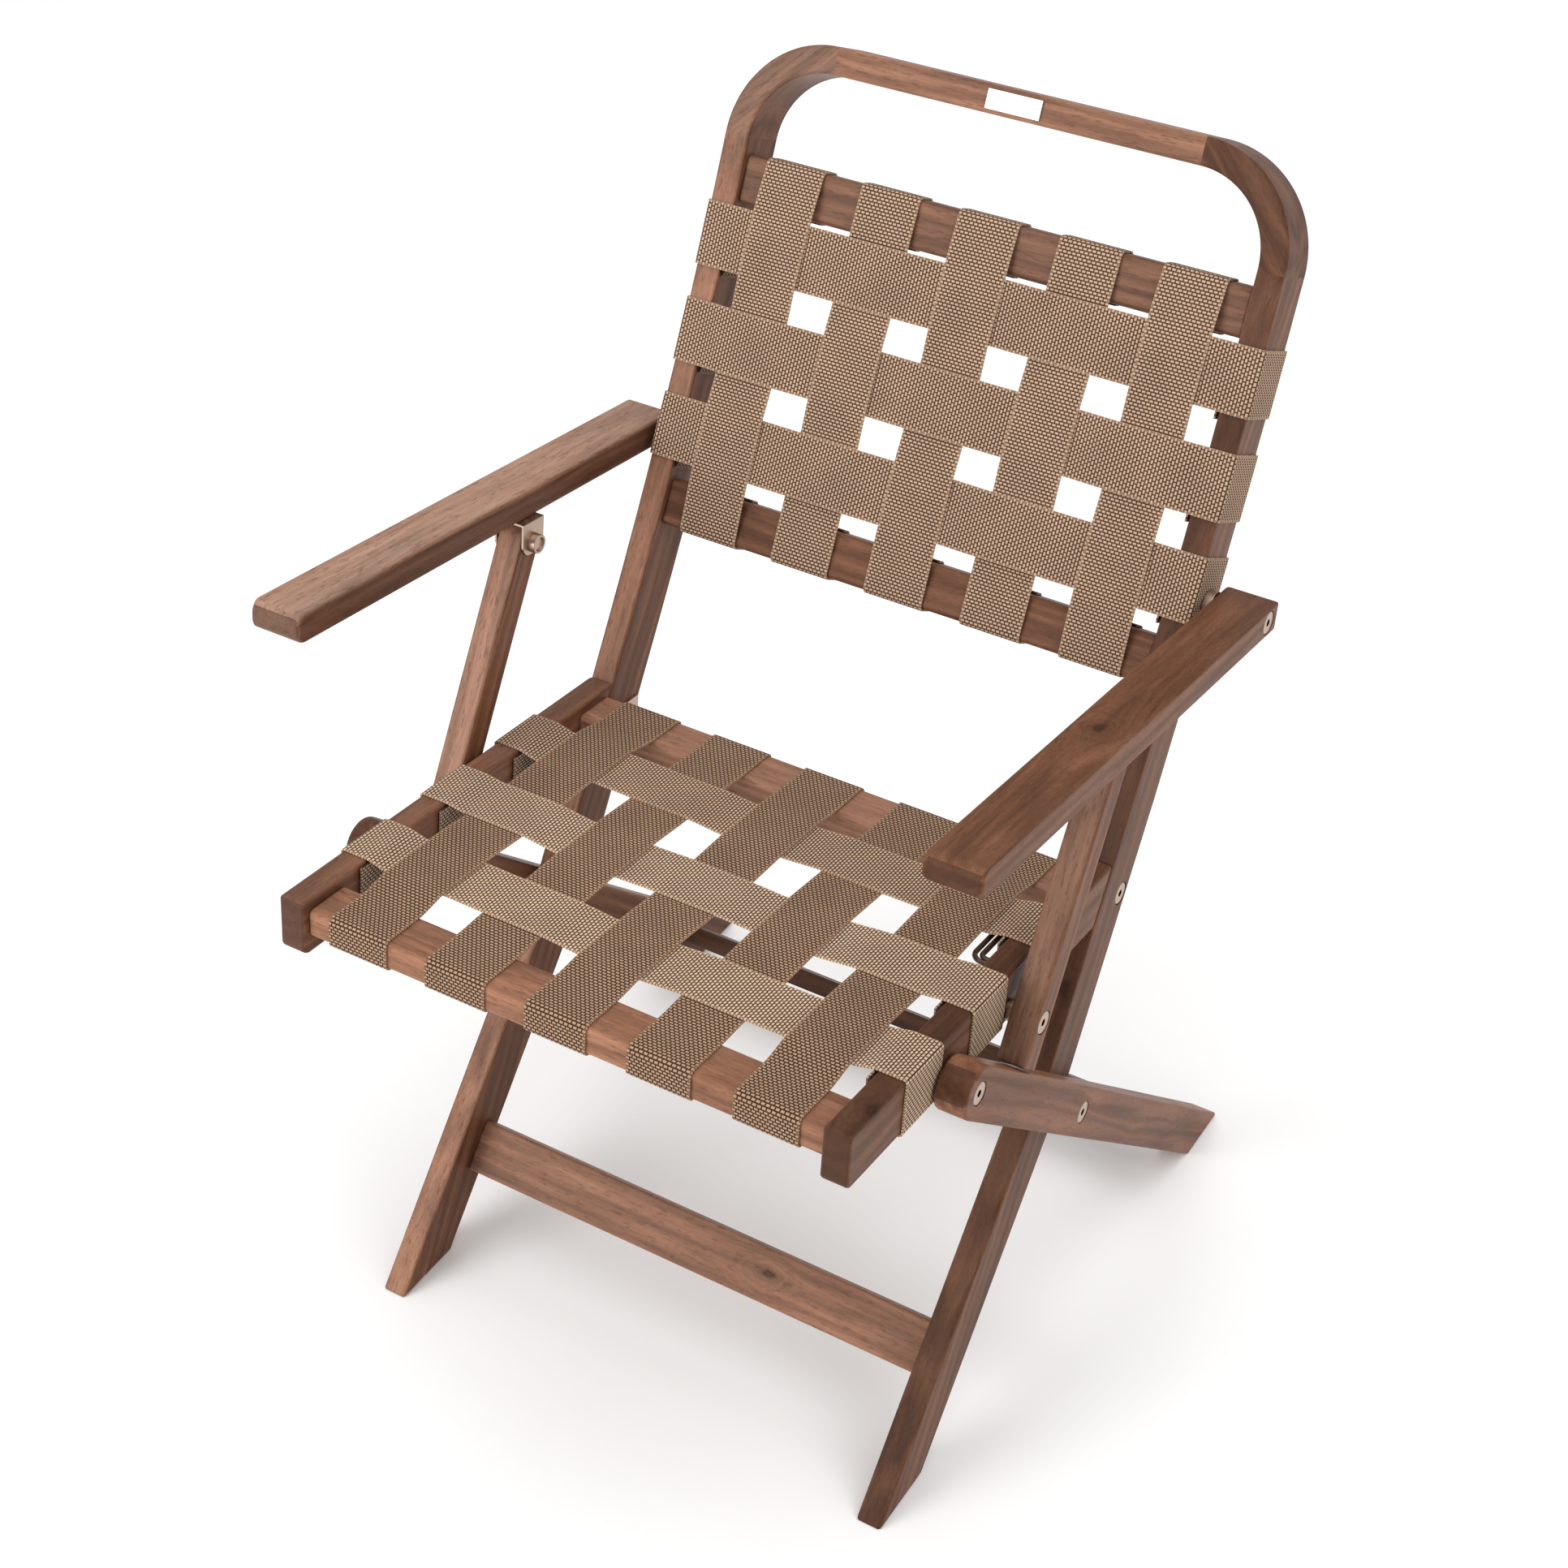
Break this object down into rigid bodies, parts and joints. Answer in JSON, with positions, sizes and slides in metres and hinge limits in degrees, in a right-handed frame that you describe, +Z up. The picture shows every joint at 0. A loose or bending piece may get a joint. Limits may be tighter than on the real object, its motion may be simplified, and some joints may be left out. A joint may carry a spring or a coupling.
{
  "type": "folding garden armchair",
  "caption": "Wooden folding garden armchair with crossing legs, swinging armrests and a woven webbing seat and back; it folds flat for storage.",
  "frame": {"origin": "on the floor, under the middle of the chair's bounding box", "axes": "+Z up, +X to the side, the sitter faces -Y"},
  "size_m": [0.564, 0.6689, 0.8694],
  "materials": {
    "stained_wood": "stained and oiled, satin",
    "webbing": "coarse woven, matt",
    "zinc_steel": "zinc plated, passivated",
    "badge_metal": "polished",
    "dark_wire": "gloss brown"
  },
  "bodies": {
    "back_frame": {"left_stile": "stained_wood", "right_stile": "stained_wood", "left_corner": "stained_wood", "right_corner": "stained_wood", "top_rail": "stained_wood", "badge_plate": "badge_metal", "upper_back_rail": "stained_wood", "lower_back_rail": "stained_wood", "front_stretcher": "stained_wood", "back_strap_1": "webbing", "back_strap_2": "webbing", "back_strap_3": "webbing", "back_strap_4": "webbing", "back_strap_5": "webbing", "back_band_1": "webbing", "back_band_2": "webbing", "back_band_3": "webbing", "crossing_bolts": "zinc_steel", "crossing_washers": "zinc_steel", "arm_bolts": "zinc_steel", "arm_spacers": "zinc_steel", "seat_rests": "zinc_steel", "rest_bolts": "zinc_steel"},
    "leg_frame": {"left_rear_leg": "stained_wood", "right_rear_leg": "stained_wood", "rear_stretcher": "stained_wood"},
    "seat_frame": {"left_side_rail": "stained_wood", "right_side_rail": "stained_wood", "front_rail": "stained_wood", "rear_rail": "stained_wood", "seat_strap_1": "webbing", "seat_strap_2": "webbing", "seat_strap_3": "webbing", "seat_strap_4": "webbing", "seat_strap_5": "webbing", "seat_band_1": "webbing", "seat_band_2": "webbing", "seat_band_3": "webbing", "leg_bolts": "zinc_steel", "leg_washers": "zinc_steel", "strut_bosses": "zinc_steel", "carrying_hook": "dark_wire"},
    "left_arm_set": {"left_arm": "stained_wood", "left_strut_bracket": "zinc_steel", "left_bracket_bolt": "zinc_steel"},
    "left_strut_set": {"left_strut": "stained_wood", "left_strut_bolt": "zinc_steel"},
    "right_arm_set": {"right_arm": "stained_wood", "right_strut_bracket": "zinc_steel", "right_bracket_bolt": "zinc_steel"},
    "right_strut_set": {"right_strut": "stained_wood", "right_strut_bolt": "zinc_steel"}
  },
  "joints": [
    {"name": "leg_fold", "type": "hinge", "parent": "back_frame", "child": "leg_frame", "pos_m": [0, -0.02936, 0.24252], "axis": [-1, 0, 0], "range_deg": [0, 66]},
    {"name": "seat_fold", "type": "hinge", "parent": "leg_frame", "child": "seat_frame", "pos_m": [0, -0.20723, 0.40509], "axis": [1, 0, 0], "range_deg": [0, 132]},
    {"name": "left_arm_fold", "type": "hinge", "parent": "back_frame", "child": "left_arm_set", "pos_m": [-0.261, 0.1747, 0.57108], "axis": [-1, 0, 0], "range_deg": [0, 79.49]},
    {"name": "left_strut_fold", "type": "hinge", "parent": "left_arm_set", "child": "left_strut_set", "pos_m": [-0.248, -0.00859, 0.5674], "axis": [1, 0, 0], "range_deg": [0, 98.12]},
    {"name": "right_arm_fold", "type": "hinge", "parent": "back_frame", "child": "right_arm_set", "pos_m": [0.261, 0.1747, 0.57108], "axis": [-1, 0, 0], "range_deg": [0, 79.49]},
    {"name": "right_strut_fold", "type": "hinge", "parent": "right_arm_set", "child": "right_strut_set", "pos_m": [0.248, -0.00859, 0.5674], "axis": [1, 0, 0], "range_deg": [0, 98.12]}
  ],
  "couplings": [
    {"joint": "seat_fold", "follows": "leg_fold", "ratio": 2},
    {"joint": "left_arm_fold", "follows": "leg_fold", "ratio": 1.2042},
    {"joint": "left_strut_fold", "follows": "leg_fold", "ratio": 1.4865},
    {"joint": "right_arm_fold", "follows": "leg_fold", "ratio": 1.2042},
    {"joint": "right_strut_fold", "follows": "leg_fold", "ratio": 1.4865}
  ]
}
